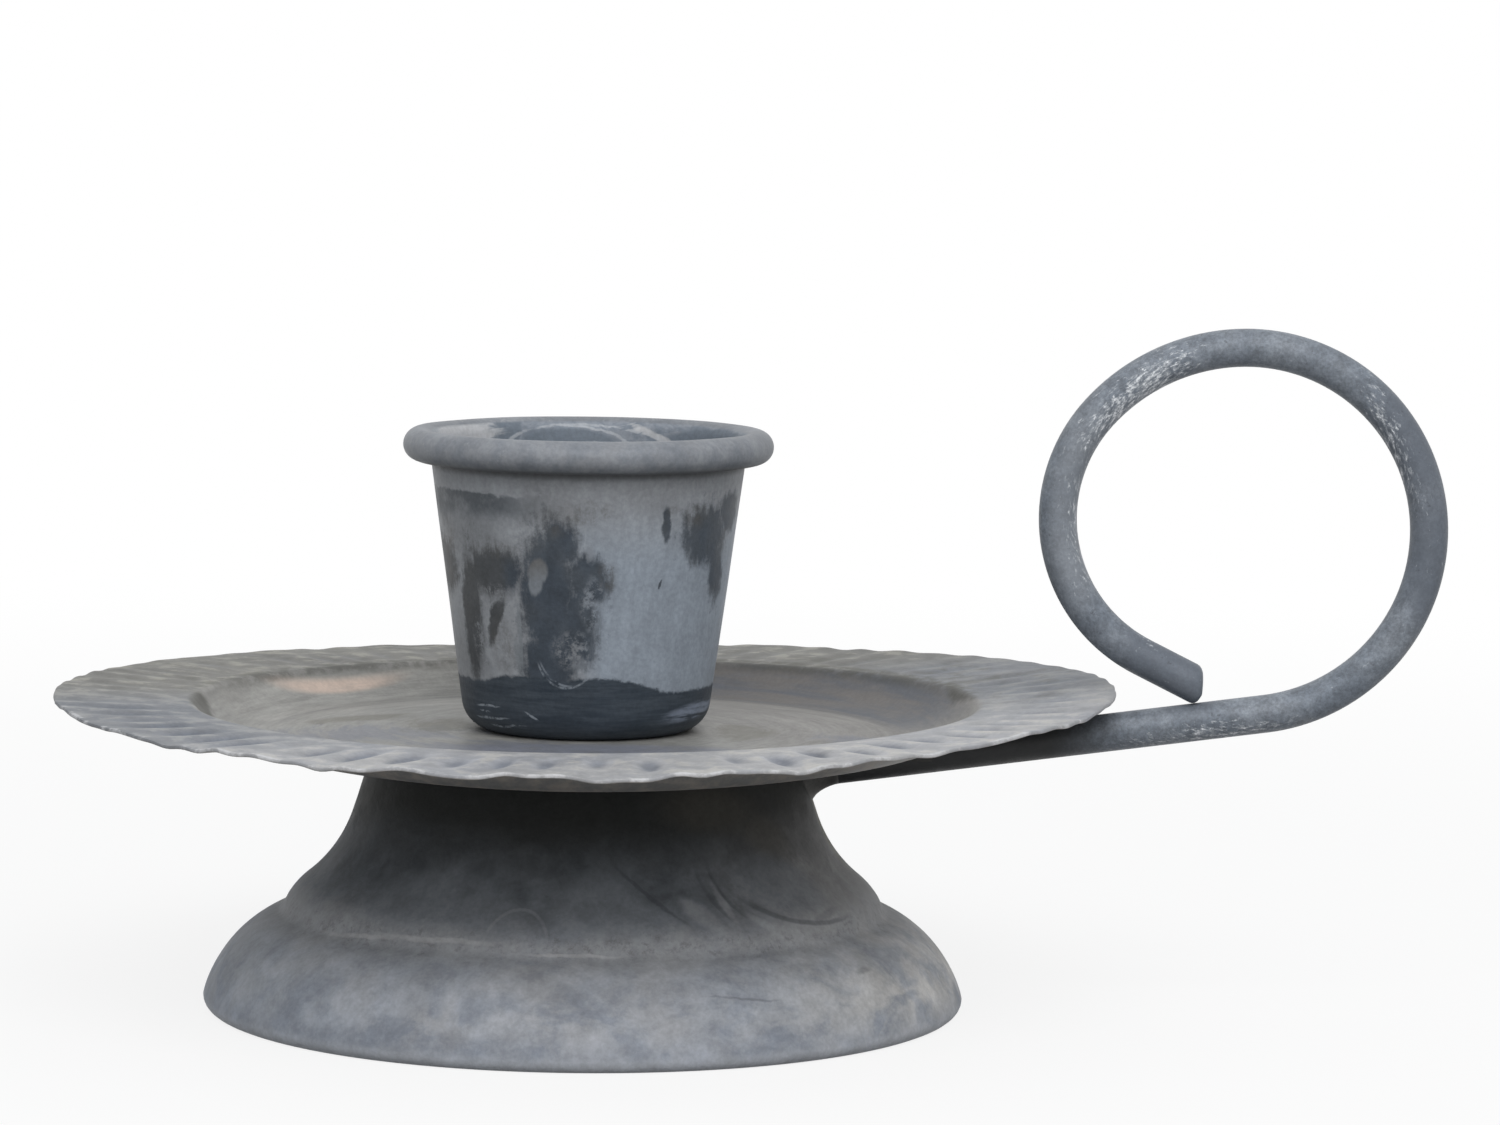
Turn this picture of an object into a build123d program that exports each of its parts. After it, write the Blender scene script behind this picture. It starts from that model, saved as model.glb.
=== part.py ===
from build123d import *
import os
from math import cos, pi, radians, sin, tan

# Chamberstick with a finger loop: a hollow spun foot, a fluted drip dish, a candle cup with a
# curled rim and a handle bent from one round rod. One screw clamps cup, dish and foot together,
# and the handle is soldered under the dish and against the neck of the foot.
# Millimetres and degrees. The origin is on the table under the middle of the foot, +Z is up and
# +X points towards the loop.

# Sheet and rod stock
foot_wall = 0.8
dish_wall = 0.8
cup_wall = 0.7
rod_diameter = 4.0

# Foot, from the table upwards: rolled hem, dome, small bead on the step, flare, neck, flat crown
foot_radius = 40.0
hem_radius = 1.3
hem_width = 1.6
dome_height = 9.0
dome_width = 8.1
dome_bulge = 1.55
bead_height = 3.2
bead_width = 2.3
bead_bulge = 0.25
flare_height = 7.5
flare_width = 5.2
flare_hollow = 0.7
neck_height = 7.6
neck_taper = 2.6
crown_bend = 1.4

# Drip dish: flat floor, sloped well wall, fluted rim
floor_radius = 37.8
floor_bend = 3.0
well_depth = 2.9
well_slope = 50.0
shoulder_bend = 2.0
shoulder_width = 1.6
dish_radius = 55.7
rim_rise = 0.5
rim_root_thickness = 0.5
rim_edge_thickness = 0.65
flute_count = 66
flute_facets = 4
flute_depth = 0.55
saddle_rise = 0.85
handle_side_lift = 0.6

# Candle cup
cup_foot_radius = 12.65
cup_bend = 3.3
cup_draft = 7.7
cup_height = 29.9
curl_radius = 1.7
curl_turn = 290.0

# Handle
rod_slope = 7.6
seat_depth = 0.6
seat_clearance = 0.3
reach_past_rim = 15.75
loop_radius = 19.35
back_start = 91.0
back_radius = 20.7
back_turn = 47.5
tail_radius = 16.5
tail_turn = 105.0
tip_gap = 0.12

# Solder
neck_solder_radius = 2.9
neck_solder_rise = 1.2
dish_solder_width = 0.9
dish_solder_root = 1.6

# Centre screw, washer and nut
screw_diameter = 4.0
screw_hole_clearance = 0.3
screw_end = 1.2
screw_tip_chamfer = 0.5
head_diameter = 8.0
head_height = 2.4
head_rounding = 1.4
slot_width = 1.1
slot_depth = 1.1
washer_diameter = 12.0
washer_thickness = 1.0
nut_width = 7.0
nut_height = 3.2
thread_gap = 0.05

# Heights and radii that follow from the sizes above
step_height = hem_radius + dome_height
step_radius = foot_radius - dome_width
bead_top = step_height + bead_height
bead_radius = step_radius - bead_width
waist_height = bead_top + flare_height
waist_radius = bead_radius - flare_width
foot_height = waist_height + neck_height
crown_radius = waist_radius - neck_taper
cup_seat = foot_height + dish_wall
rod_radius = rod_diameter / 2
hole_radius = (screw_diameter + screw_hole_clearance) / 2

os.makedirs("parts", exist_ok=True)


# Foot
def foot_outline(last_radius):
    """Outer line of the foot from the table up to the crown, as far in as last_radius."""
    Line((foot_radius - hem_radius - hem_width, 0), (foot_radius - hem_radius, 0))
    CenterArc((foot_radius - hem_radius, hem_radius), hem_radius, -90, 90)
    SagittaArc((foot_radius, hem_radius), (step_radius, step_height), -dome_bulge)
    SagittaArc((step_radius, step_height), (bead_radius, bead_top), -bead_bulge)
    SagittaArc((bead_radius, bead_top), (waist_radius, waist_height), flare_hollow)
    FilletPolyline(
        (waist_radius, waist_height),
        (crown_radius, foot_height),
        (last_radius, foot_height),
        radius=crown_bend,
    )


with BuildPart() as pedestal_foot:
    with BuildSketch(Plane.XZ):
        with BuildLine():
            foot_outline(hole_radius)
            offset(amount=foot_wall, side=Side.LEFT)
        make_face()
    revolve(axis=Axis.Z)

# The foot as a filled body, used to shape what is joined to its neck
with BuildPart() as foot_body:
    with BuildSketch(Plane.XZ):
        with BuildLine():
            foot_outline(0)
            Polyline((0, foot_height), (0, 0), (foot_radius - hem_radius - hem_width, 0))
        make_face()
    revolve(axis=Axis.Z)

# Drip dish
well_run = well_depth / tan(radians(well_slope))
shoulder_radius = floor_radius + well_run
rim_root_radius = shoulder_radius + shoulder_width
rim_root_height = foot_height + well_depth + dish_wall / 2
half_steps = flute_count * flute_facets // 2


def rim_section(angle):
    """Cross-section of the rim, standing on a half-plane through the axis at this angle."""
    wave = cos(flute_count * angle)
    warp = saddle_rise * cos(2 * angle) + handle_side_lift * cos(angle)
    edge_height = rim_root_height + rim_rise + warp + flute_depth / 2 * wave
    root = rim_root_radius - shoulder_width / 2
    outward = (cos(angle), sin(angle), 0)
    along_rim = (sin(angle), -cos(angle), 0)
    with BuildSketch(Plane(origin=(0, 0, 0), x_dir=outward, z_dir=along_rim)) as section:
        with BuildLine():
            Polyline(
                (root, rim_root_height - rim_root_thickness / 2),
                (dish_radius, edge_height - rim_edge_thickness / 2),
                (dish_radius, edge_height + rim_edge_thickness / 2),
                (root, rim_root_height + rim_root_thickness / 2),
                close=True,
            )
        make_face()
    return section.sketch


with BuildPart() as drip_dish:
    with BuildSketch(Plane.XZ):
        with BuildLine():
            FilletPolyline(
                (hole_radius, foot_height),
                (floor_radius, foot_height),
                (shoulder_radius, foot_height + well_depth),
                (rim_root_radius, foot_height + well_depth),
                radius=[floor_bend, shoulder_bend],
            )
            offset(amount=dish_wall, side=Side.LEFT)
        make_face()
    revolve(axis=Axis.Z)
    for half_start in (0, pi):
        angles = [half_start + pi * (step + 0.5) / half_steps for step in range(half_steps + 1)]
        loft(sections=[rim_section(angle) for angle in angles], ruled=True)

# Candle cup
draft = radians(cup_draft)
curl_inside = curl_radius - cup_wall
curl_height = cup_seat + cup_height
wall_top_height = curl_height + curl_inside * sin(draft)
wall_top_radius = cup_foot_radius + (wall_top_height - cup_seat) * tan(draft)
curl_centre = (wall_top_radius + curl_inside * cos(draft), curl_height)

with BuildPart() as candle_cup:
    with BuildSketch(Plane.XZ):
        with BuildLine():
            FilletPolyline(
                (hole_radius, cup_seat),
                (cup_foot_radius, cup_seat),
                (wall_top_radius, wall_top_height),
                radius=cup_bend,
            )
            offset(amount=cup_wall, side=Side.LEFT)
        make_face()
        with BuildLine():
            outer_curl = CenterArc(curl_centre, curl_radius, 180 - cup_draft, -curl_turn)
            inner_curl = CenterArc(curl_centre, curl_inside, 180 - cup_draft, -curl_turn)
            Line(outer_curl @ 0, inner_curl @ 0)
            Line(outer_curl @ 1, inner_curl @ 1)
        make_face()
    revolve(axis=Axis.Z)

# Handle: a straight rod that climbs under the dish, then a loop of three arcs, each going on from the
# one before without a corner, and a straight tail that comes back to the rod
slope = radians(rod_slope)
flat_floor_radius = floor_radius - floor_bend * tan(radians(well_slope) / 2)
seat_point = Vector(flat_floor_radius, 0, foot_height + seat_depth - rod_radius / cos(slope))


def ray(angle):
    """Unit vector in the handle's plane, turned by this many degrees from +X towards +Z."""
    return Vector(cos(radians(angle)), 0, sin(radians(angle)))


def rod_point(x):
    """Point of the straight rod's centre line at this distance from the axis."""
    return seat_point + rod_direction * ((x - seat_point.X) / cos(slope))


rod_direction = ray(rod_slope)
rod_normal = ray(rod_slope + 90)
rod_start = rod_point(crown_radius - rod_diameter)
loop_start = rod_point(dish_radius + reach_past_rim)
loop_centre = loop_start + rod_normal * loop_radius
loop_turn = back_start + 90 - rod_slope
back_centre = loop_centre + ray(back_start) * (loop_radius - back_radius)
back_end = back_start + back_turn
tail_centre = back_centre + ray(back_end) * (back_radius - tail_radius)
tail_angle = back_end + tail_turn
tail_start = tail_centre + ray(tail_angle) * tail_radius
tail_direction = ray(tail_angle + 90)
tail_corner = tail_start + ray(tail_angle) * rod_radius
tail_drop = (tail_corner - loop_start).dot(rod_normal) - rod_radius - tip_gap
tail_length = tail_drop / -tail_direction.dot(rod_normal)

# The rod's top is filed flat where it lies under the dish floor, as far as the well wall rises over it
rod_rate = tan(slope)
wall_rate = tan(radians(well_slope))
seat_start = flat_floor_radius - seat_depth / rod_rate
seat_end = (floor_radius * wall_rate + seat_depth - flat_floor_radius * rod_rate) / (wall_rate - rod_rate)

with BuildPart() as finger_loop:
    with BuildLine() as rod_path:
        Line(rod_start, loop_start)
        with BuildLine(Plane.XZ):
            CenterArc((loop_centre.X, loop_centre.Z), loop_radius, rod_slope - 90, loop_turn)
            CenterArc((back_centre.X, back_centre.Z), back_radius, back_start, back_turn)
            CenterArc((tail_centre.X, tail_centre.Z), tail_radius, back_end, tail_turn)
        Line(tail_start, tail_start + tail_direction * tail_length)
    with BuildSketch(Plane(origin=rod_start, z_dir=rod_direction)):
        Circle(rod_radius)
    sweep(path=rod_path.wires()[0])
    with BuildSketch(Plane.XY.offset(foot_height)):
        Rectangle(2 * (seat_end + seat_clearance), 2 * rod_diameter)
    extrude(amount=rod_diameter, mode=Mode.SUBTRACT)
    add(foot_body.part, mode=Mode.SUBTRACT)

# Solder between the rod's end and the neck, a hollow fillet under the rod and up both its sides
neck_rate = neck_taper / neck_height
underside_at_axis = seat_point.Z - seat_point.X * rod_rate - rod_radius / cos(slope)
neck_meeting = (crown_radius + neck_rate * (foot_height - underside_at_axis)) / (1 + neck_rate * rod_rate)
neck_solder_end = neck_meeting + neck_solder_radius
neck_solder_origin = rod_point(neck_solder_end)
neck_solder_top = neck_solder_origin + rod_normal * neck_solder_rise
into_neck = -neck_solder_radius - rod_diameter

with BuildPart() as neck_solder:
    with BuildSketch(Plane(origin=neck_solder_origin, x_dir=rod_direction, z_dir=(0, -1, 0))):
        with BuildLine():
            CenterArc((0, rod_radius + neck_solder_radius), neck_solder_radius, 180, 90)
            Polyline(
                (0, rod_radius),
                (into_neck, rod_radius),
                (into_neck, rod_radius + neck_solder_radius),
                (-neck_solder_radius, rod_radius + neck_solder_radius),
            )
        make_face()
    revolve(axis=Axis(neck_solder_origin, rod_direction))
    with BuildSketch(Plane(origin=neck_solder_top, x_dir=rod_direction, z_dir=rod_normal)):
        Rectangle(3 * neck_solder_end, 4 * (rod_radius + neck_solder_radius))
    extrude(amount=rod_diameter + neck_solder_radius, mode=Mode.SUBTRACT)
    add(foot_body.part, mode=Mode.SUBTRACT)

# Solder along both sides of the rod's seat, in the corners that it makes with the dish floor
with BuildPart() as dish_solder:
    with BuildSketch(Plane.YZ.offset(seat_start)):
        with BuildLine():
            Polyline(
                (rod_radius - dish_solder_root, foot_height),
                (rod_radius + dish_solder_width, foot_height),
                (rod_radius, foot_height - rod_radius),
                close=True,
            )
        make_face()
        mirror(about=Plane.YZ)
    extrude(amount=flat_floor_radius - seat_start)
    add(finger_loop.part, mode=Mode.SUBTRACT)
    add(neck_solder.part, mode=Mode.SUBTRACT)

# Centre screw with a slotted head, standing on the cup's floor
head_seat = cup_seat + cup_wall
crown_underside = foot_height - foot_wall
nut_top = crown_underside - washer_thickness
nut_bottom = nut_top - nut_height

with BuildPart() as centre_screw:
    with BuildSketch(Plane.XY.offset(head_seat)):
        Circle(head_diameter / 2)
    extrude(amount=head_height)
    fillet(centre_screw.edges().group_by(Axis.Z)[-1], head_rounding)
    with BuildSketch(Plane.XY.offset(head_seat + head_height)):
        Rectangle(2 * head_diameter, slot_width)
    extrude(amount=-slot_depth, mode=Mode.SUBTRACT)
    with BuildSketch(Plane.XY.offset(head_seat)):
        Circle(screw_diameter / 2)
    extrude(amount=nut_bottom - screw_end - head_seat)
    chamfer(centre_screw.edges().group_by(Axis.Z)[0], screw_tip_chamfer)

with BuildPart() as foot_washer:
    with BuildSketch(Plane.XY.offset(nut_top)):
        Circle(washer_diameter / 2)
        Circle(hole_radius, mode=Mode.SUBTRACT)
    extrude(amount=washer_thickness)

# Hexagon nut, its corners turned down to the width across its flats at both ends
nut_corner_radius = nut_width / 2 / cos(pi / 6)
nut_corner_drop = (nut_corner_radius - nut_width / 2) * tan(pi / 6)

with BuildPart() as hex_nut:
    with BuildSketch(Plane.XY.offset(nut_bottom)):
        RegularPolygon(nut_width / 2, 6, major_radius=False)
        Circle(screw_diameter / 2 + thread_gap, mode=Mode.SUBTRACT)
    extrude(amount=nut_height)
    with BuildSketch(Plane.XZ):
        with BuildLine():
            Polyline(
                (0, nut_bottom),
                (nut_width / 2, nut_bottom),
                (nut_corner_radius, nut_bottom + nut_corner_drop),
                (nut_corner_radius, nut_top - nut_corner_drop),
                (nut_width / 2, nut_top),
                (0, nut_top),
                close=True,
            )
        make_face()
    revolve(axis=Axis.Z, mode=Mode.INTERSECT)

# Each piece is labelled and written to its own file
pedestal_foot.part.label = "pedestal_foot"
export_step(pedestal_foot.part, "parts/pedestal_foot.step")
drip_dish.part.label = "drip_dish"
export_step(drip_dish.part, "parts/drip_dish.step")
candle_cup.part.label = "candle_cup"
export_step(candle_cup.part, "parts/candle_cup.step")
finger_loop.part.label = "finger_loop"
export_step(finger_loop.part, "parts/finger_loop.step")
neck_solder.part.label = "neck_solder"
export_step(neck_solder.part, "parts/neck_solder.step")
dish_solder.part.label = "dish_solder"
export_step(dish_solder.part, "parts/dish_solder.step")
centre_screw.part.label = "centre_screw"
export_step(centre_screw.part, "parts/centre_screw.step")
foot_washer.part.label = "foot_washer"
export_step(foot_washer.part, "parts/foot_washer.step")
hex_nut.part.label = "hex_nut"
export_step(hex_nut.part, "parts/hex_nut.step")
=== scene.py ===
# %% [markdown]
# # A chamberstick with a finger loop
#
# A chamberstick is a low candle holder that is carried with one finger. This one is spun, pressed and bent
# from zinc that has aged to a cloudy grey: a hollow foot, a fluted drip dish, a cup for the candle and a
# round rod bent into a loop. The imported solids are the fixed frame. The four zinc pieces and the solder at
# the neck are modelled again here at the same sizes, with finer surfaces. The solder under the dish, the
# screw, the washer and the nut keep their solids. The origin is on the table under the foot, +Z is up and
# +X points to the loop.

# %% The frame
from math import acos, asin, atan2, cos, degrees, exp, hypot, pi, radians, sin, sqrt, tan

import bpy
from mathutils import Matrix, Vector, noise


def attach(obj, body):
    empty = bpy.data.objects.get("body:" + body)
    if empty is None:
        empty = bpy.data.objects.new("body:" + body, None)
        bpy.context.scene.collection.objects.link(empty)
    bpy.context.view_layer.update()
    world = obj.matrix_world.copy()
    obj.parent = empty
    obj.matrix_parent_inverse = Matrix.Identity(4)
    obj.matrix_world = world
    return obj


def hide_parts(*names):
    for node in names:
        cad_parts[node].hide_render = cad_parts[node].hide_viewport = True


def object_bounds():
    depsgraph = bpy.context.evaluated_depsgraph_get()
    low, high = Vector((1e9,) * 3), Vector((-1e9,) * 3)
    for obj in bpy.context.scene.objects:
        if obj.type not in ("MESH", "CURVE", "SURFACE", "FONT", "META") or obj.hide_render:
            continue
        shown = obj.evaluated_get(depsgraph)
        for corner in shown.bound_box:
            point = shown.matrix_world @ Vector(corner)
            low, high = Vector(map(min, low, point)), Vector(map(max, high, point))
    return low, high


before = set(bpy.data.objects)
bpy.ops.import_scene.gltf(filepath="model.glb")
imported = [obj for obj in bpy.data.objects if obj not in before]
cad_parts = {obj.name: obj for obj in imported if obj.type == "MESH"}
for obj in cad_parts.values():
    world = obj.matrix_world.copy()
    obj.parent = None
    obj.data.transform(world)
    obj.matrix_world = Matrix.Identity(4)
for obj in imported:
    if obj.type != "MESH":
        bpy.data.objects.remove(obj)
cad_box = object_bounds()
MM = 0.001
print("frame:", ", ".join(sorted(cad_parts)))

# %% [markdown]
# ## Camera
#
# The photograph was taken from a little over half a metre away with a long lens, slightly from above and
# with the camera turned by less than a degree. A camera could be placed by eye, but these numbers come from
# fitting the outline of the solids to the outline of the real holder.

# %% Camera
camera_place = (0.01705, -0.57949, 0.10386)
camera_pitch = 5.59
camera_roll = 0.75
camera_lens = 133.12

bpy.ops.object.select_all(action="DESELECT")
bpy.ops.object.camera_add(location=camera_place)
camera = bpy.context.object
camera.name = "camera"
camera.rotation_mode = "ZYX"
camera.rotation_euler = (radians(90 - camera_pitch), 0, radians(camera_roll))
camera.data.sensor_width = 36
camera.data.lens = camera_lens
camera.data.clip_start = 0.01
bpy.context.scene.camera = camera
print("camera: lens", camera_lens, "mm, pitch", camera_pitch, "degrees down")

# %% [markdown]
# ## Node helpers
#
# Every finish below is a tree of nodes. Nodes can be wired by hand in the shader editor, one link at a
# time. These small helpers do the same in one line each, so that a finish reads as a list of layers. As in
# the editor, one tree is open at a time, and every helper adds its node to that one.


# %% Node helpers
def open_tree(owner):
    """Opens the node tree of a material or of the world for the helpers below."""
    global tree
    owner.use_nodes = True
    tree = owner.node_tree


def add_node(kind, inputs, **settings):
    """Adds one node, sets its settings and fills its inputs with values or links."""
    made = tree.nodes.new(kind)
    for name, setting in settings.items():
        setattr(made, name, setting)
    for socket, value in inputs.items():
        if isinstance(value, bpy.types.NodeSocket):
            tree.links.new(value, made.inputs[socket])
        else:
            made.inputs[socket].default_value = value
    return made


def calc(operation, first, second=0.0):
    """One step of arithmetic."""
    return add_node("ShaderNodeMath", {0: first, 1: second}, operation=operation).outputs[0]


def times(first, second):
    """A product. A mask times a number is the mask at part of its strength."""
    return calc("MULTIPLY", first, second)


def plus(first, second):
    """A sum."""
    return calc("ADD", first, second)


def minus(first, second):
    """A difference."""
    return calc("SUBTRACT", first, second)


def larger(first, second):
    """The larger of two values, which joins two masks."""
    return calc("MAXIMUM", first, second)


def gap(first, second):
    """How far two values are apart."""
    return calc("ABSOLUTE", minus(first, second))


def fade(value, low, high, to_low=0.0, to_high=1.0):
    """A soft step: to_low below the first value, to_high above the second."""
    inputs = {"Value": value, "From Min": low, "From Max": high, "To Min": to_low, "To Max": to_high}
    return add_node("ShaderNodeMapRange", inputs, interpolation_type="SMOOTHSTEP").outputs["Result"]


def fall(value, low, high):
    """A soft step down, from 1 below the first value to 0 above the second."""
    return fade(value, low, high, 1.0, 0.0)


def blend(share, first, second, amount=None):
    """Lays the second colour over the first where share is 1, at this strength if one is given."""
    inputs = {0: share if amount is None else times(share, amount)}
    for socket, colour in ((6, first), (7, second)):
        inputs[socket] = colour if isinstance(colour, bpy.types.NodeSocket) else (*colour, 1.0)
    return add_node("ShaderNodeMix", inputs, data_type="RGBA").outputs[2]


def parts_of(place):
    """The three numbers of a place, by their names X, Y and Z or in a row."""
    return add_node("ShaderNodeSeparateXYZ", {0: place}).outputs


def joined(x, y, z=0.0):
    """A place put together from its numbers."""
    return add_node("ShaderNodeCombineXYZ", {0: x, 1: y, 2: z}).outputs[0]


def vector(operation, first, second=(0, 0, 0)):
    """One step of arithmetic on places."""
    return add_node("ShaderNodeVectorMath", {0: first, 1: second}, operation=operation).outputs[0]


def scaled(place, factor):
    """A place with all of its numbers multiplied by one factor."""
    return add_node("ShaderNodeVectorMath", {0: place, "Scale": factor}, operation="SCALE").outputs[0]


def measure(operation, first, second=(0, 0, 0)):
    """A length or a dot product, as one number."""
    return add_node("ShaderNodeVectorMath", {0: first, 1: second}, operation=operation).outputs["Value"]


print("node helpers: open_tree, add_node, calc, times, plus, minus, larger, gap, fade, fall, blend,")
print("and for places: parts_of, joined, vector, scaled, measure")

# %% [markdown]
# ## Floor, light and background
#
# The holder stands on a pale table in soft light from above, as on an overcast day. The background is white
# for what the camera sees directly or in a reflection, while the light itself comes from a dim sky that is
# brightest overhead, and from one large lamp. The table sends little light back up, so the underside of
# the dish stays dark as it does on the real one.


# %% Floor
def seen_rays():
    """1 for rays from the camera, from a reflection or through glass, else 0."""
    rays = tree.nodes.new("ShaderNodeLightPath").outputs
    glossy = larger(rays["Is Glossy Ray"], rays["Is Transmission Ray"])
    return larger(rays["Is Camera Ray"], glossy)


bpy.ops.mesh.primitive_plane_add(size=6)
floor = bpy.context.object
floor.name = "floor"
pale_table = bpy.data.materials.new("pale_table")
open_tree(pale_table)
tree.nodes.clear()
glow = add_node("ShaderNodeEmission", {"Color": (1, 1, 1, 1), "Strength": 1.0}).outputs[0]
lit = add_node("ShaderNodeBsdfDiffuse", {"Color": (0.92, 0.92, 0.92, 1)}).outputs[0]
dim = add_node("ShaderNodeBsdfDiffuse", {"Color": (0.2, 0.2, 0.2, 1)}).outputs[0]
place = tree.nodes.new("ShaderNodeTexCoord").outputs["Object"]
distance = measure("LENGTH", place)
share = fade(distance, 0.1, 0.45, 0.84, 1.0)
pale = add_node("ShaderNodeMixShader", {0: share, 1: lit, 2: glow}).outputs[0]
table = add_node("ShaderNodeMixShader", {0: seen_rays(), 1: dim, 2: pale}).outputs[0]
add_node("ShaderNodeOutputMaterial", {"Surface": table})
floor.data.materials.append(pale_table)
print("floor:", floor.dimensions.x, "m wide")

# %% Sky and lamp
sky_overhead = 0.6
sky_level = 0.45
lamp_power = 6.2
lamp_place = (0.12, -0.78, 0.72)
lamp_size = 0.9
lamp_target = Vector((0.02, 0, 0.03))

world = bpy.context.scene.world or bpy.data.worlds.new("sky")
bpy.context.scene.world = world
open_tree(world)
tree.nodes.clear()
direction = tree.nodes.new("ShaderNodeTexCoord").outputs["Generated"]
strength = fade(parts_of(direction)["Z"], 0.0, 1.0, sky_level, sky_overhead)
sky = add_node("ShaderNodeBackground", {"Color": (0.97, 0.985, 1, 1), "Strength": strength}).outputs[0]
white = add_node("ShaderNodeBackground", {"Color": (1, 1, 1, 1), "Strength": 1.0}).outputs[0]
surround = add_node("ShaderNodeMixShader", {0: seen_rays(), 1: sky, 2: white}).outputs[0]
add_node("ShaderNodeOutputWorld", {"Surface": surround})

bpy.ops.object.light_add(type="AREA", location=lamp_place)
lamp = bpy.context.object
lamp.name = "soft_lamp"
lamp.data.shape = "DISK"
lamp.data.size = lamp_size
lamp.data.energy = lamp_power
lamp.rotation_euler = (lamp_target - lamp.location).to_track_quat("-Z", "Y").to_euler()
bpy.context.scene.view_settings.view_transform = "Standard"
print("lamp:", lamp_power, "W through", lamp_size, "m")

# %% [markdown]
# ## Lines to turn on a lathe
#
# Foot, dish and cup are round, and the real ones are spun from flat sheet over a turning form. The same can
# be done here: draw half of the outline as a line of points, then spin the line round the upright axis. The
# points of round stretches come from these three helpers, so each outline is stated by its real sizes.
# A point is (distance from the axis, height), in millimetres.


# %% Outline helpers
def arc(centre, radius, start, turn, steps):
    """Points on an arc, by its first angle and its turn in degrees."""
    angles = [radians(start + turn * step / steps) for step in range(steps + 1)]
    return [(centre[0] + radius * cos(angle), centre[1] + radius * sin(angle)) for angle in angles]


def bow(start, end, bulge, steps):
    """Points on a shallow arc between two points, bulging to the right of the way along it."""
    start, end = Vector(start), Vector(end)
    along = (end - start).normalized()
    right = Vector((along.y, -along.x))
    half = (end - start).length / 2
    radius = (half * half + bulge * bulge) / (2 * bulge)
    spread = asin(half / radius)
    points = []
    for step in range(steps + 1):
        angle = spread * (2 * step / steps - 1)
        rise = radius * (cos(angle) - cos(spread))
        points.append(tuple((start + end) / 2 + along * (radius * sin(angle)) + right * rise))
    return points


def bend(before, corner, after, radius, steps):
    """Points of the round bend that takes the place of a corner."""
    corner = Vector(corner)
    back = (Vector(before) - corner).normalized()
    on = (Vector(after) - corner).normalized()
    half = acos(back.dot(on)) / 2
    middle = corner + (back + on).normalized() * (radius / sin(half))
    first = corner + back * (radius / tan(half)) - middle
    turn = pi - 2 * half
    if back.x * on.y - back.y * on.x > 0:
        turn = -turn
    angles = [atan2(first.y, first.x) + turn * step / steps for step in range(steps + 1)]
    return [(middle.x + radius * cos(angle), middle.y + radius * sin(angle)) for angle in angles]


print("outline helpers: arc, bow, bend")


# %% Lathe helpers
def at(point):
    """A point of an outline as a place in the upright plane over +X, in metres."""
    return Vector((point[0], 0, point[1])) * MM


def draw(name, places):
    """A new piece that is one line of points: a plane merged to one, then extruded from place to place."""
    bpy.ops.object.select_all(action="DESELECT")
    bpy.ops.mesh.primitive_plane_add(size=MM)
    piece = bpy.context.object
    piece.name = piece.data.name = name
    bpy.ops.object.mode_set(mode="EDIT")
    bpy.ops.mesh.merge(type="CENTER")
    bpy.ops.transform.translate(value=places[0])
    for here, there in zip(places, places[1:]):
        bpy.ops.mesh.extrude_region_move(TRANSFORM_OT_translate={"value": there - here})
    return piece


def turn_on_lathe(name, line, steps):
    """Spins a line into a skin whose flat top faces up, its doubles merged and its normals recalculated."""
    piece = draw(name, [at(point) for point in line])
    bpy.ops.mesh.select_all(action="SELECT")
    bpy.ops.mesh.spin(steps=steps, angle=2 * pi, center=(0, 0, 0), axis=(0, 0, 1))
    bpy.ops.mesh.select_all(action="SELECT")
    bpy.ops.mesh.remove_doubles(threshold=0.005 * MM)
    bpy.ops.mesh.normals_make_consistent(inside=False)
    bpy.ops.object.mode_set(mode="OBJECT")
    nearest = min(piece.data.polygons, key=lambda face: hypot(face.center.x, face.center.y))
    if nearest.normal.z < 0:
        bpy.ops.object.mode_set(mode="EDIT")
        bpy.ops.mesh.flip_normals()
        bpy.ops.object.mode_set(mode="OBJECT")
    return piece


def press(piece, move):
    """Moves each point of a piece by the vector that move gives for it, in millimetres."""
    for vertex in piece.data.vertices:
        vertex.co += move(vertex.co / MM, vertex.normal) * MM
    piece.data.update()


def thicken(piece, wall, edge, group="", least=1.0):
    """Gives a skin its wall, away from the side it faces, and takes the sharpness off its edges."""
    solidify = piece.modifiers.new("wall", "SOLIDIFY")
    solidify.thickness = wall * MM
    solidify.offset = -1
    solidify.use_even_offset = True
    solidify.vertex_group = group
    solidify.thickness_vertex_group = least
    bpy.ops.object.modifier_apply(modifier=solidify.name)
    soften = piece.modifiers.new("edge", "BEVEL")
    soften.width = edge * MM
    soften.segments = 2
    soften.limit_method = "ANGLE"
    soften.angle_limit = radians(55)
    bpy.ops.object.modifier_apply(modifier=soften.name)
    bpy.ops.object.shade_smooth_by_angle(angle=radians(40))


def settle(piece, slot, *nodes):
    """Fixes a finished piece to the frame in place of its solid, and says how large it is."""
    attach(piece, "root")
    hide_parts(*nodes)
    size = [round(side / MM, 1) for side in piece.dimensions]
    print(piece.name, "measures", size, "mm with", len(piece.data.polygons), "faces")


def limit(value):
    """A value kept between 0 and 1."""
    return min(max(value, 0), 1)


def waves(place, size, seed):
    """Smooth random waves of about this size in millimetres, from -1 to 1."""
    return noise.noise(Vector(place) / size + Vector((seed, seed * 0.7, -seed)))


print("lathe helpers: at, draw, turn_on_lathe, press, thicken, settle, limit, waves")

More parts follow.
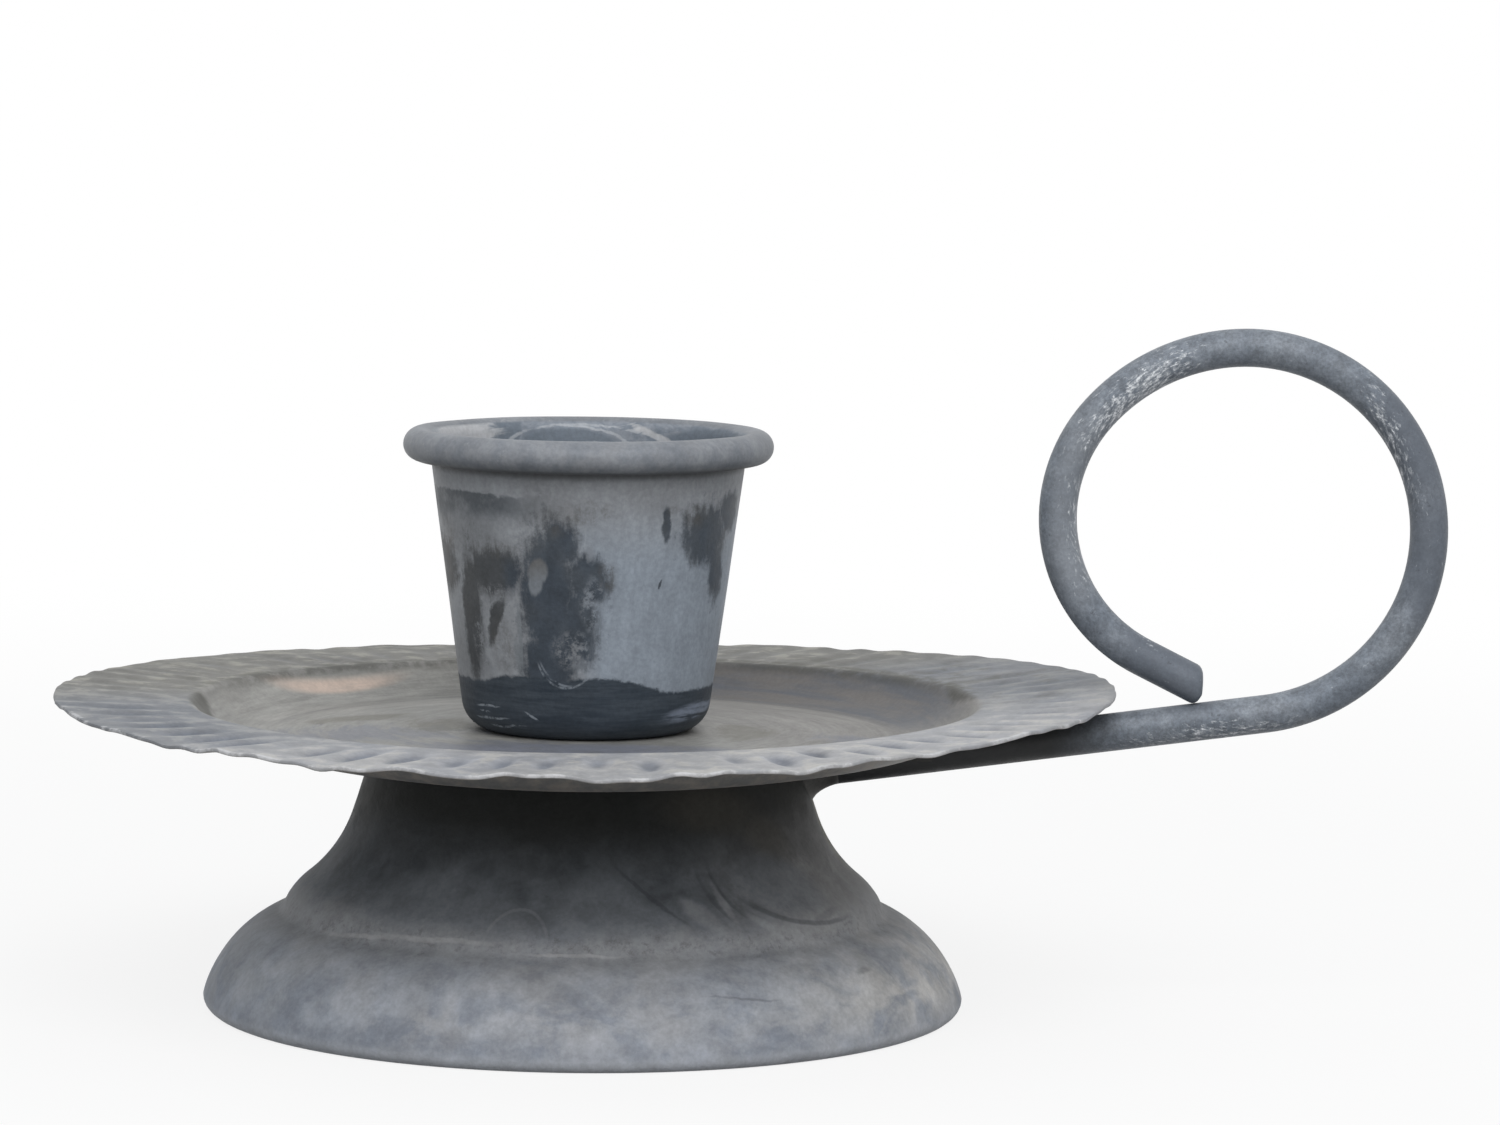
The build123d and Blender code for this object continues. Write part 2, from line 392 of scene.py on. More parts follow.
# %% [markdown]
# ## Foot
#
# The foot is a hollow bell: a rolled hem on the table, a dome, a narrow bead on the step, a hollow flare and
# a neck that ends in a flat crown under the dish. It is turned from its outer line and thickened inwards.
# A spun foot that has been used for years isn't perfectly round, so soft waves of about a tenth of a
# millimetre are pressed into the dome and flare, and none into the hem and the crown that have to fit.

# %% Foot
hole_radius = 2.15
foot_radius = 40.0
hem_radius = 1.3
hem_width = 1.6
step_point = (31.9, 10.3)
bead_point = (29.6, 13.5)
waist_point = (24.4, 21.0)
crown_corner = (21.8, 28.6)
crown_end = (hole_radius, crown_corner[1])
dome_bulge = 1.55
bead_bulge = 0.25
flare_hollow = 0.7
crown_bend = 1.4
crease_bend = 1.6
foot_wall = 0.8
foot_edge = 0.2
foot_dent = 0.12
lathe_steps = 192

hem_start = (foot_radius - hem_radius - hem_width, 0)
hem = arc((foot_radius - hem_radius, hem_radius), hem_radius, -90, 90, 6)
dome = bow(hem[-1], step_point, dome_bulge, 22)
bead = bow(step_point, bead_point, bead_bulge, 8)
flare = bow(bead_point, waist_point, -flare_hollow, 16)
crown = bend(waist_point, crown_corner, crown_end, crown_bend, 6)
neck = [tuple(Vector(waist_point).lerp(Vector(crown[0]), share / 6)) for share in range(1, 6)]
crown_flat = [(radius, crown_end[1]) for radius in (17, 13, 9, 5)]
crease = bend(dome[-4], step_point, bead[3], crease_bend, 6)
lower = [hem_start] + hem + dome[1:-3] + crease + bead[3:]
foot_line = lower + flare[1:] + neck + crown + crown_flat + [crown_end]

pedestal_foot = turn_on_lathe("zinc_foot", foot_line, lathe_steps)


def foot_dents(place, normal):
    """Soft unevenness of the spun sheet, none at the hem and the crown."""
    share = limit((place.z - 2) / 3) * limit((25 - place.z) / 3)
    return normal * share * (foot_dent * waves(place, 14, 3.1) - 0.1)


press(pedestal_foot, foot_dents)
thicken(pedestal_foot, foot_wall, foot_edge)
settle(pedestal_foot, "foot_zinc", "pedestal_foot")

# %% [markdown]
# ## Drip dish
#
# The dish has a floor, a hollow wall and a wide rim that was crimped into many shallow dimples with a hand
# tool, so that no two are quite alike. It is turned first as a plain dish, and then each point is moved by a
# formula: a long warp of the whole rim, a lip that is slightly oval, a floor that has sagged in front,
# dimples that lean and wander, and waves and dips that make the edge uneven. Bump alone would not show in
# the outline of the edge, so all of this is real shape. The depth of the dimples is also kept on the mesh
# as an attribute, so that the finish can darken them.

# %% Dish outline
floor_height = 29.4
sunk_floor = 28.9
floor_corner = (37.75, sunk_floor)
lip_height = 32.3
lip_corner = (40.6, lip_height)
lip_end = 41.6
dish_radius = 55.7
edge_height = 32.72
flute_count = 66
steps_per_flute = 9
lip_oval = 0.7
cove_radius = 7.5
lip_radius = 1.3
floor_end = 33.3
dish_wall = 0.7
dish_edge = 0.12
rim_share = 0.55

floor_points = [(radius, floor_height) for radius in (hole_radius, 6, 11, 16, 19, 21)]
floor_points += [(radius, floor_height + (sunk_floor - floor_height) * sin(radians(90 * share)) ** 2)
                 for radius, share in ((23.5, 0.2), (26, 0.4), (28.5, 0.6), (31, 0.8), (floor_end, 1.0))]
cove = bend((floor_end, sunk_floor), floor_corner, lip_corner, cove_radius, 10)
lip_bend = bend(floor_corner, lip_corner, (dish_radius, lip_height), lip_radius, 6)
rim_steps = 18
rim_points = [
    (lip_end + (dish_radius - lip_end) * step / rim_steps,
     lip_height + (edge_height - lip_height) * step / rim_steps)
    for step in range(rim_steps + 1)
]
dish_line = floor_points + cove + lip_bend + rim_points
drip_dish = turn_on_lathe("zinc_dish", dish_line, flute_count * steps_per_flute)

# %% Crimped rim
saddle_rise = 0.85
handle_side_lift = 0.6
warp_start = 36.4
floor_sag = 0.8
crimp_depth = 0.75
crimp_wander = 2.4
crimp_lean = 2.2
wave_radius = 50
edge_dips = [(-24.0, 0.3, 4.0), (-10.8, 0.55, 3.2), (4.5, 0.5, 2.8), (24.0, 0.4, 3.5), (38.0, 0.3, 3.0)]


def rim_reach(place):
    """How far out on the rim a point lies: 0 at the lip, 1 at the edge."""
    return limit((hypot(place.x, place.y) - lip_end) / (dish_radius - lip_end))


def rim_turn(place):
    """Phase of the crimps round the rim: they lean and wander."""
    angle = atan2(place.y, place.x)
    wander = crimp_wander * waves(Vector((cos(angle), sin(angle), 0)) * wave_radius, 13, 5.3)
    return flute_count * angle + wander + crimp_lean * (rim_reach(place) - 0.5)


def crimp(place):
    """Depth of the crimps at a point, 1 in a full dimple. They differ, and are deepest at the front."""
    turn = rim_turn(place)
    number = round(turn / (2 * pi))
    depth = min(1 + 1.3 * waves((number * 7.3, 0, 0), 3.1, 4.4), 1.2)
    middle = min(0.5 + 0.3 * waves((number * 5.1, 9, 0), 3.3, 1.7), 0.54)
    front = max(-sin(atan2(place.y, place.x)), 0)
    front -= 0.4 * front ** 12
    swell = exp(-((rim_reach(place) - middle) / (0.3 - 0.13 * front)) ** 2) * limit(rim_reach(place) / 0.15)
    return (0.26 + 0.74 * front) * depth * swell * (0.5 + 0.5 * cos(turn)) ** 2


def rim_move(place, normal):
    """How far crimping and years of use have moved a point of the dish."""
    angle = atan2(place.y, place.x)
    radius = hypot(place.x, place.y)
    outward = Vector((cos(angle), sin(angle), 0))
    rim_spot = outward * wave_radius
    reach = rim_reach(place)
    front = max(-sin(angle), 0)
    warp = saddle_rise * cos(2 * angle) + handle_side_lift * cos(angle)
    height = warp * limit((radius - warp_start) / (dish_radius - warp_start))
    height -= floor_sag * front ** 3 * limit((radius - 22) / 11) * limit((40 - radius) / 3)
    height += 0.15 * limit(reach / 0.35) - crimp_depth * crimp(place)
    height += (0.3 + 0.15 * front) * waves(rim_spot, 10.5, 1.9) * reach ** 2
    scallop = cos(rim_turn(place)) * (0.5 + waves(rim_spot, 7, 3.6))
    height -= (0.08 + 0.13 * front) * scallop * reach ** 3
    from_front = degrees(atan2(place.x, -place.y))
    for middle, depth, half in edge_dips:
        height -= depth * exp(-((from_front - middle) / half) ** 2) * reach ** 3
    oval = lip_oval * cos(2 * angle) * limit((radius - 31) / 6) * limit((52 - radius) / 9)
    notch = (0.06 * scallop + 0.04 * waves(rim_spot, 5, 2.2) + 0.1) * reach ** 6
    return Vector((0, 0, height)) + outward * (oval - notch)


valleys = [crimp(vertex.co / MM) for vertex in drip_dish.data.vertices]
drip_dish.data.attributes.new("crimp", "FLOAT", "POINT").data.foreach_set("value", valleys)
rim_wall = drip_dish.vertex_groups.new(name="rim_wall")
for vertex in drip_dish.data.vertices:
    rim_wall.add([vertex.index], 1 - rim_reach(vertex.co / MM), "REPLACE")
press(drip_dish, rim_move)
thicken(drip_dish, dish_wall, dish_edge, "rim_wall", rim_share)
settle(drip_dish, "dish_zinc", "drip_dish")

# %% [markdown]
# ## Candle cup
#
# The cup widens upwards and its edge is rolled outwards into a curl, which stiffens it. The inside of the
# sheet becomes the outside of the curl, so the line that is turned runs along the inside: over the floor,
# up the wall and round the curl. The wall is then added on the far side.

# %% Candle cup
cup_floor = 30.1
cup_draft = 7.7
curl_centre = (17.70, 59.3)
curl_radius = 1.7
curl_turn = 290
cup_wall = 0.7
cup_edge = 0.15
cup_bend = 2.6
cup_dent = 0.05
outer_foot = 12.65
wall_rate = tan(radians(cup_draft))
inner_foot = outer_foot + cup_wall * wall_rate - cup_wall / cos(radians(cup_draft))

curl = arc(curl_centre, curl_radius, 180 - cup_draft, -curl_turn, 34)
floor_line = [(radius, cup_floor) for radius in (hole_radius, 4.5, 7)]
foot_bend = bend((hole_radius, cup_floor), (inner_foot, cup_floor), curl[0], cup_bend, 8)
wall = [tuple(Vector(foot_bend[-1]).lerp(Vector(curl[0]), share / 18)) for share in range(1, 18)]
candle_cup = turn_on_lathe("zinc_cup", floor_line + foot_bend + wall + curl, lathe_steps)


def cup_dents(place, normal):
    """Slight unevenness of the wall and of the rolled edge."""
    share = limit((place.z - 31.5) / 3)
    return normal * share * cup_dent * waves(place, 9, 6.4)


press(candle_cup, cup_dents)
thicken(candle_cup, cup_wall, cup_edge)
settle(candle_cup, "cup_zinc", "candle_cup")

# %% [markdown]
# ## Finger loop
#
# The handle is one round rod. It starts against the neck of the foot, climbs under the dish, bends round
# into a loop that is slightly egg-shaped, and its tail comes back down to touch the rod. A curve with a
# bevel would do, but here one ring of points is extruded along the straight stretches and spun round the
# three centres of the bends, just as the rod was bent round pegs. The top of the rod is cut flat where it
# lies under the dish.

# %% Rod path
rod_radius = 2.0
rod_slope = 7.6
seat = Vector((36.40, 0, 27.182))
pegs = [(19.35, 173.4), (20.7, 47.5), (16.5, 105.0)]
rod_sides = 32
degrees_per_step = 2.4
tip_rounding = 0.7
tip_gap = 0.03
dish_underside = 28.5
seat_end = 40.0
end_sunk = 0.3
tip_trim = 0.42


def ray(angle):
    """Unit vector in the plane of the handle, turned from +X towards +Z."""
    return Vector((cos(radians(angle)), 0, sin(radians(angle))))


def rod_point(x):
    """Point on the centre line of the straight rod, this far from the axis."""
    return seat + ray(rod_slope) * ((x - seat.x) / cos(radians(rod_slope)))


neck_side = rod_point(19)
solder_end = rod_point(25.6)
loop_start = rod_point(71.45)
print("rod climbs from", round(neck_side.z, 1), "to", round(loop_start.z, 1), "mm before the loop")


# %% Rod
def extrude_by(step):
    """Extrudes what is selected by a step in millimetres."""
    bpy.ops.mesh.extrude_region_move(TRANSFORM_OT_translate={"value": step * MM})


bpy.ops.object.select_all(action="DESELECT")
bpy.ops.mesh.primitive_circle_add(
    vertices=rod_sides, radius=rod_radius * MM,
    location=neck_side * MM, rotation=(0, radians(90 - rod_slope), 0),
)
finger_loop = bpy.context.object
finger_loop.name = finger_loop.data.name = "zinc_loop"
bpy.ops.object.transform_apply(location=True, rotation=True, scale=True)
bpy.ops.object.mode_set(mode="EDIT")
bpy.ops.mesh.select_all(action="SELECT")
extrude_by(solder_end - neck_side)
straight_steps = 44
for step in range(straight_steps):
    extrude_by((loop_start - solder_end) / straight_steps)
heading = rod_slope - 90
peg = loop_start - ray(heading) * pegs[0][0]
for number, (radius, turn) in enumerate(pegs):
    peg = peg if number == 0 else peg + ray(heading) * (pegs[number - 1][0] - radius)
    steps = round(turn / degrees_per_step)
    bpy.ops.mesh.spin(steps=steps, angle=radians(turn), center=peg * MM, axis=(0, 1, 0))
    heading += turn
tail_way = ray(heading + 90)
tail_start = peg + ray(heading) * pegs[-1][0]
corner = tail_start + ray(heading) * (rod_radius - tip_rounding)
drop = (corner - loop_start).dot(ray(rod_slope + 90)) - tip_rounding - rod_radius - tip_gap
tail_run = drop / -tail_way.dot(ray(rod_slope + 90))
for step in range(4):
    extrude_by(tail_way * tail_run / 4)
print("tail is straight for", round(tail_run, 1), "mm before its rounded tip")

# %% Tip of the tail
tip_centre = tail_start + tail_way * tail_run
last_ahead = 0
last_ring = rod_radius
for angle in (22.5, 45, 67.5, 90):
    ahead = tip_rounding * sin(radians(angle))
    ring = rod_radius - tip_rounding * (1 - cos(radians(angle)))
    extrude_by(tail_way * (ahead - last_ahead))
    tip_middle = (tip_centre + tail_way * ahead) * MM
    bpy.ops.transform.resize(value=[ring / last_ring] * 3, center_override=tip_middle)
    last_ahead = ahead
    last_ring = ring
bpy.ops.mesh.edge_face_add()
bpy.ops.mesh.select_all(action="SELECT")
bpy.ops.mesh.remove_doubles(threshold=0.005 * MM)
bpy.ops.object.mode_set(mode="OBJECT")

# %% Rod end and seat
neck_top, neck_height = crown_corner
neck_rate = (waist_point[0] - neck_top) / (neck_height - waist_point[1])


def onto_neck(place, sunk):
    """The place on the neck, or this far under its surface, that a point reaches along the rod."""
    target = place.copy()
    for step in range(8):
        neck_radius = neck_top + (neck_height - target.z) * neck_rate - sunk
        target += ray(rod_slope) * (sqrt(neck_radius ** 2 - target.y ** 2) - target.x)
    return target


def seat_move(place, normal):
    """Brings the rod's end to the neck, files its top flat under the dish and trims the tip of the tail."""
    target = place.copy()
    target.x = min(target.x, cad_box[1][0] / MM)
    if (place - neck_side).dot(ray(rod_slope)) < 0.1:
        target = onto_neck(place, end_sunk)
    if target.x < seat_end:
        target.z = min(target.z, dish_underside)
    tip = place - tip_centre
    over_rod = (place - loop_start).dot(ray(rod_slope + 90)) - rod_radius
    near = tip.length < 3 * rod_radius and over_rod > tip_gap / 2
    share = limit(tip.dot(tail_way) / 1.6 + 1) if near else 0
    inner = max(-tip.dot(ray(heading)) + 0.6, 0)
    return target - place - tail_way * (tip_trim * inner * share)


def face_outwards():
    """Turns all faces of the piece at hand outwards and smooths its round parts."""
    bpy.ops.object.mode_set(mode="EDIT")
    bpy.ops.mesh.select_all(action="SELECT")
    bpy.ops.mesh.normals_make_consistent(inside=False)
    bpy.ops.object.mode_set(mode="OBJECT")
    bpy.ops.object.shade_smooth_by_angle(angle=radians(50))


press(finger_loop, seat_move)
face_outwards()
settle(finger_loop, "rod_zinc", "finger_loop")

# %% [markdown]
# ## Solder at the neck
#
# Where the rod meets the neck, solder was run into the corner and left a smooth hollow fillet. Its profile
# is drawn once, beside the rod, and spun round the rod's own axis. The points that face the neck then slide
# along the rod until they lie just under the neck's surface, so that no gap or hard edge shows.

# %% Solder at the neck
fillet_radius = 2.9
fillet_reach = 112
fillet_sunk = 0.35

fillet_end = rod_point(onto_neck(rod_point(24) - ray(rod_slope + 90) * rod_radius, 0).x + fillet_radius)
hollow = arc((0, rod_radius + fillet_radius), fillet_radius, 270, -90, 10)
fillet_back = -fillet_radius - 0.6
fillet_inside = rod_radius - 0.4
fillet_edge = [(fillet_back, rod_radius + fillet_radius), (fillet_back, fillet_inside), (0.3, fillet_inside)]
profile = hollow + fillet_edge
across = Vector((0, sin(radians(fillet_reach)), 0)) - ray(rod_slope + 90) * cos(radians(fillet_reach))
fillet_places = [(fillet_end + ray(rod_slope) * along + across * out) * MM for along, out in profile]
neck_fillet = draw("solder_fillet", fillet_places + fillet_places[:1])
bpy.ops.mesh.select_all(action="SELECT")
bpy.ops.mesh.remove_doubles(threshold=0.005 * MM)
bpy.ops.mesh.select_all(action="SELECT")
bpy.ops.mesh.spin(steps=28, angle=radians(2 * fillet_reach), center=fillet_end * MM, axis=ray(rod_slope))
bpy.ops.mesh.select_all(action="SELECT")
bpy.ops.mesh.fill_holes(sides=0)
bpy.ops.object.mode_set(mode="OBJECT")


def fillet_move(place, normal):
    """Slides the points on the neck's side onto the neck, and keeps all of them under the dish."""
    share = limit(-(place - fillet_end).dot(ray(rod_slope)) / fillet_radius)
    target = place.lerp(onto_neck(place, fillet_sunk), share ** 3)
    target.z = min(target.z, dish_underside)
    return target - place


press(neck_fillet, fillet_move)
face_outwards()
settle(neck_fillet, "solder", "neck_solder")

# %% [markdown]
# ## Aged zinc
#
# Zinc left to age grows a thin skin of carbonate: cloudy, bluish where it is thin and warm grey where it is
# thick, with darker slate where water stood and bright marks where it was rubbed. Photographs could be laid
# on the pieces, but they would show seams and could not be reused. Layers of noise on the place of each
# point in millimetres do the same on every side, and the larger stains are listed one by one as ragged
# ovals.


# %% Zinc helpers
def new_finish(name):
    """A new material, its tree opened, and the place of a point on the piece in millimetres."""
    material = bpy.data.materials.new(name)
    open_tree(material)
    metres = tree.nodes.new("ShaderNodeTexCoord").outputs["Object"]
    return material, scaled(metres, 1000.0)


def cloud(place, size, seed, detail=3.0, rough=0.55, twist=0.0):
    """Smooth random clouds of about this size in millimetres, from 0 to 1."""
    inputs = {"Vector": place, "W": seed * size, "Scale": 1 / size, "Detail": detail}
    inputs.update({"Roughness": rough, "Distortion": twist})
    return add_node("ShaderNodeTexNoise", inputs, noise_dimensions="4D").outputs["Fac"]


def stretch(place, factors):
    """A place with each of its three numbers multiplied, to draw clouds out into streaks."""
    return vector("MULTIPLY", place, factors)


def around(place, radius):
    """Place on a round piece: millimetres round from the front, and height."""
    x, y, z = parts_of(place)
    return joined(times(calc("ARCTAN2", x, times(y, -1.0)), radius), z)


def within(spot, x, y, wide, high, lean):
    """A spot as seen from the middle of an oval, with the oval's edge at 1. Half sizes, lean in degrees."""
    inputs = {"Vector": spot, "Location": (x, y, 0), "Scale": (wide, high, 1)}
    inputs["Rotation"] = (0, 0, radians(lean))
    return add_node("ShaderNodeMapping", inputs, vector_type="TEXTURE").outputs[0]


def ovals(spot, rows):
    """1 in the middle of any of these ovals and 0 at its edge. A row is what within asks for."""
    found = None
    for row in rows:
        depth = minus(1.0, measure("LENGTH", within(spot, *row)))
        found = depth if found is None else larger(found, depth)
    return found


def hoops(spot, rows, width):
    """1 on the line of any of these part ovals. A row adds the part's middle as an angle, and its reach."""
    found = None
    for *oval, side, reach in rows:
        inside = within(spot, *oval)
        off = gap(measure("LENGTH", inside), 1.0)
        thick = width / min(oval[2:4])
        line = fall(off, 0.3 * thick, thick)
        facing = (cos(radians(side)), sin(radians(side)), 0)
        along = measure("DOT_PRODUCT", inside, facing)
        line = times(line, fade(along, reach, reach + 0.25))
        found = line if found is None else larger(found, line)
    return found


def jostle(spot, place, size, amount, seed):
    """A spot pushed about by clouds, so that what is drawn there gets an uneven outline."""
    inputs = {"Vector": place, "W": seed * size, "Scale": 1 / size, "Detail": 4.0, "Roughness": 0.6}
    clouds = add_node("ShaderNodeTexNoise", inputs, noise_dimensions="4D").outputs["Color"]
    push = vector("MULTIPLY", vector("SUBTRACT", clouds, (0.5, 0.5, 0.5)), amount)
    return vector("ADD", spot, push)


def ragged(field, edge, amount, low=-0.06, high=0.14):
    """Turns a field into a mask whose edge is broken up by noise."""
    return fade(plus(field, times(minus(edge, 0.5), amount)), low, high)


def shade(colour, value, dark, pale, low=0.3, high=0.7):
    """Darkens or lightens a colour as a value goes from low to high."""
    level = fade(value, low, high, dark, pale)
    return vector("MULTIPLY", colour, joined(level, level, level))


def finish_zinc(material, colour, rough, relief, relief_depth, metal=0.1, gloss=0.25):
    """Joins colour, roughness and relief to the shader."""
    shader = tree.nodes["Principled BSDF"]
    tree.links.new(colour, shader.inputs["Base Color"])
    tree.links.new(rough, shader.inputs["Roughness"])
    bump = add_node("ShaderNodeBump", {"Height": relief, "Strength": 0.6, "Distance": relief_depth * MM})
    tree.links.new(bump.outputs["Normal"], shader.inputs["Normal"])
    shader.inputs["Metallic"].default_value = metal
    shader.inputs["Specular IOR Level"].default_value = gloss
    print(material.name, "has", len(tree.nodes), "nodes")
    return material


print("zinc helpers are ready: clouds, streaks, ovals, hoops, ragged edges, shading and finishes")

# %% [markdown]
# ### Zinc of the cup
#
# The cup is the darkest piece. Its right half is plain bluish grey; on its left, slate stains were brushed
# upwards out of a dark band round its foot, with a pale gap between them, and a dark wedge runs down the
# right edge. The stains are ovals whose edges are drawn out upwards by streaks and broken by speckle.


# %% Cup finish
def cup_stains(colour, spot, place, clouds):
    """Slate stains on the outside of the cup."""
    mist, mottle, streaks, speckle = clouds
    loose = jostle(spot, place, 2.4, (1.4, 2, 0), 5)
    x, y = parts_of(loose)[:2]
    edge = plus(times(streaks, 0.55), times(speckle, 0.45))
    slate = blend(fade(mist, 0.42, 0.6), (0.043, 0.056, 0.074), (0.066, 0.076, 0.088))
    slate = blend(fade(x, -9.5, -7.5, 0.7, 0), slate, (0.064, 0.065, 0.065))
    slate = shade(slate, mottle, 0.82, 1.25)
    stains = ovals(loose, [
        (-3.8, 44.6, 3.4, 7.6, 0), (-2.6, 50.2, 2.2, 3, 0), (0.6, 46.3, 2.4, 2.8, 0),
        (-0.4, 42, 2.4, 4.6, 0), (-3.9, 37.6, 3.4, 3.8, 0), (-10.2, 47, 4.1, 2.7, 4),
        (-14, 42.2, 2, 7.6, -4), (-10.2, 42.2, 0.8, 3, -25), (14.4, 50.7, 4, 3.3, -22),
        (16.8, 46.9, 1.6, 3.8, 14), (18.2, 53, 2.6, 2.4, 0), (8.5, 52.3, 0.5, 2, 6),
        (8.25, 46.1, 0.16, 0.5, -10), (-20, 47, 4, 3, 0), (-29, 44, 5, 7, 8),
        (28, 48, 3.6, 4, -10), (34, 42, 4, 5.5, 4),
    ])
    stained = ragged(stains, edge, 2, -0.24, 0.34)
    sprinkle = times(fade(speckle, 0.57, 0.63), fade(stains, -0.7, 0.1))
    stained = larger(stained, times(sprinkle, 0.65))
    worn = ovals(loose, [
        (-1.2, 39.3, 2.8, 2.6, 0), (1.2, 44, 1.8, 3.6, 0), (-9.8, 44.9, 3, 1.1, 0),
        (-13.2, 39.6, 1.4, 3.4, 0),
    ])
    rubbed = times(fade(worn, 0, 0.6), fade(speckle, 0.44, 0.6))
    stained = times(stained, minus(1, times(rubbed, 0.75)))
    colour = blend(stained, colour, slate, 0.94)
    brown = ovals(loose, [
        (-2.8, 52.4, 2.6, 1.8, 0), (-10, 49.4, 4, 1.6, 0), (9.2, 53.6, 1.3, 1, 0),
        (2.6, 46.8, 1.4, 2.6, 0), (-9.4, 39.5, 2.6, 4.2, 0), (-17.8, 49, 3, 6.5, 0),
        (12.4, 53, 2.6, 1.6, 0), (0.5, 53.5, 4, 2, 0),
    ])
    brown = times(fade(brown, 0, 0.7), fade(edge, 0.4, 0.62))
    colour = blend(brown, colour, (0.1, 0.096, 0.09), 0.6)

    haze = fade(ovals(loose, [(-12, 50.6, 6, 3.2, 0), (-4.5, 53.6, 4, 2, 0)]), 0, 0.8)
    haze = times(haze, fade(streaks, 0.3, 0.6, 0.4, 1))
    colour = blend(haze, colour, (0.105, 0.112, 0.12), 0.42)
    smear = times(fall(y, 54.9, 55.25), fade(y, 51.4, 53.8))
    smear = times(times(smear, fall(x, -9.5, -3)), fade(x, -34, -24))
    smear = times(smear, fade(mottle, 0.3, 0.52, 0.5, 1))
    colour = blend(smear, colour, (0.068, 0.08, 0.092), 0.85)
    window = ovals(spot, [(-4.8, 47.2, 1.25, 1.6, -20), (-5.05, 46.2, 0.95, 1.7, -8)])
    bare = blend(fade(y, 46, 48.6), (0.21, 0.23, 0.255), (0.155, 0.157, 0.158))
    colour = blend(ragged(window, streaks, 0.8, -0.04, 0.34), colour, bare)
    slit = ovals(spot, [(-7.15, 40.4, 0.32, 4.4, 1), (-7.6, 38.6, 0.5, 2.2, 6)])
    return blend(ragged(slit, streaks, 0.8, 0, 0.5), colour, (0.22, 0.24, 0.26), 0.8)


def cup_band(colour, spot, place, speckle):
    """Dark band round the cup's foot, with pale scratches and bluish strokes."""
    x, y = parts_of(jostle(spot, place, 1.2, (0.5, 0.5, 0), 8))[:2]
    drop = plus(fade(x, 3, 12, 0, 1.7), fade(x, -14, -9, 0.9, 0))
    drop = minus(drop, fade(x, 24, 42, 0, 0.8))
    dip = fade(gap(x, -2.4), 0, 2.2, 0.55, 0)
    above = plus(y, plus(drop, dip))
    band = fall(plus(above, times(minus(speckle, 0.5), 1.1)), 36, 36.4)
    brushed = cloud(stretch(place, (0.16, 0.16, 1.6)), 0.8, 3, 4, 0.6)
    tone = blend(fade(brushed, 0.35, 0.68), (0.028, 0.039, 0.053), (0.054, 0.068, 0.085))
    colour = blend(band, colour, tone, 0.96)
    bluish = ovals(spot, [(16.5, 32.1, 8, 1.3, 3)])
    bluish = times(fade(bluish, 0, 0.6), fade(brushed, 0.36, 0.6))
    colour = blend(bluish, colour, (0.25, 0.29, 0.37), 0.85)
    scratches = ovals(jostle(spot, place, 4, (0.6, 0.9, 0), 2), [
        (-13, 32.7, 2.6, 0.16, 3), (-12.8, 31.5, 3.9, 0.17, 2), (-6.3, 32.1, 1.2, 0.18, -24),
        (-10.3, 30.8, 3.6, 0.15, 1), (-13.6, 32.1, 1.3, 0.12, -3),
    ])
    smile = hoops(spot, [(-1.9, 38.6, 3.3, 3.4, 0, 262, 0.3), (-1.5, 39.4, 3.6, 4, 0, 240, 0.7)], 0.16)
    marks = larger(fade(scratches, 0, 0.5), times(smile, 0.7))
    marks = times(marks, fade(speckle, 0.4, 0.56))
    return blend(marks, colour, (0.36, 0.4, 0.45), 0.72)


def cup_inside(colour, place):
    """Swirls on the inside of the cup: a pale patch, slate domes and thin white lines."""
    mid_wall = 12.25
    x, y, z = parts_of(place)
    radius = measure("LENGTH", joined(x, y))
    wall = plus(mid_wall, times(minus(z, floor_height), 0.1352))
    inside = fall(minus(radius, wall), -0.05, 0.25)
    inside = times(inside, fade(z, 33, 34))
    spot = jostle(joined(x, z), place, 3, (1.6, 1, 0), 9)
    swirl = cloud(stretch(spot, (0.4, 1.3, 0)), 1.3, 4, 4, 0.6, 1.5)
    tone = blend(fade(swirl, 0.36, 0.6), (0.195, 0.225, 0.265), (0.275, 0.3, 0.338))
    dark = ovals(spot, [(-2.8, 57.6, 6.4, 2.6, 0), (-9.6, 59.2, 2, 2.6, -32), (13, 58.8, 6.5, 1.7, 4)])
    tone = blend(fade(dark, 0, 0.2), tone, (0.15, 0.18, 0.216), 0.85)
    pale = ovals(spot, [(-13.6, 59.6, 4.6, 1.9, 0), (6.6, 59.2, 3.6, 0.5, -24)])
    tone = blend(ragged(pale, swirl, 1.2, 0, 0.5), tone, (0.52, 0.525, 0.54), 0.9)
    lines = hoops(spot, [
        (-2.8, 57.2, 7, 3, 0, 90, 0.2), (-0.5, 57.3, 3.2, 1.1, 0, 90, 0.3),
        (1, 57.6, 8.5, 2.6, -6, 70, 0.3),
    ], 0.17)
    lines = times(lines, fade(swirl, 0.34, 0.55))
    tone = blend(lines, tone, (0.5, 0.52, 0.55), 0.6)
    return blend(inside, colour, tone)


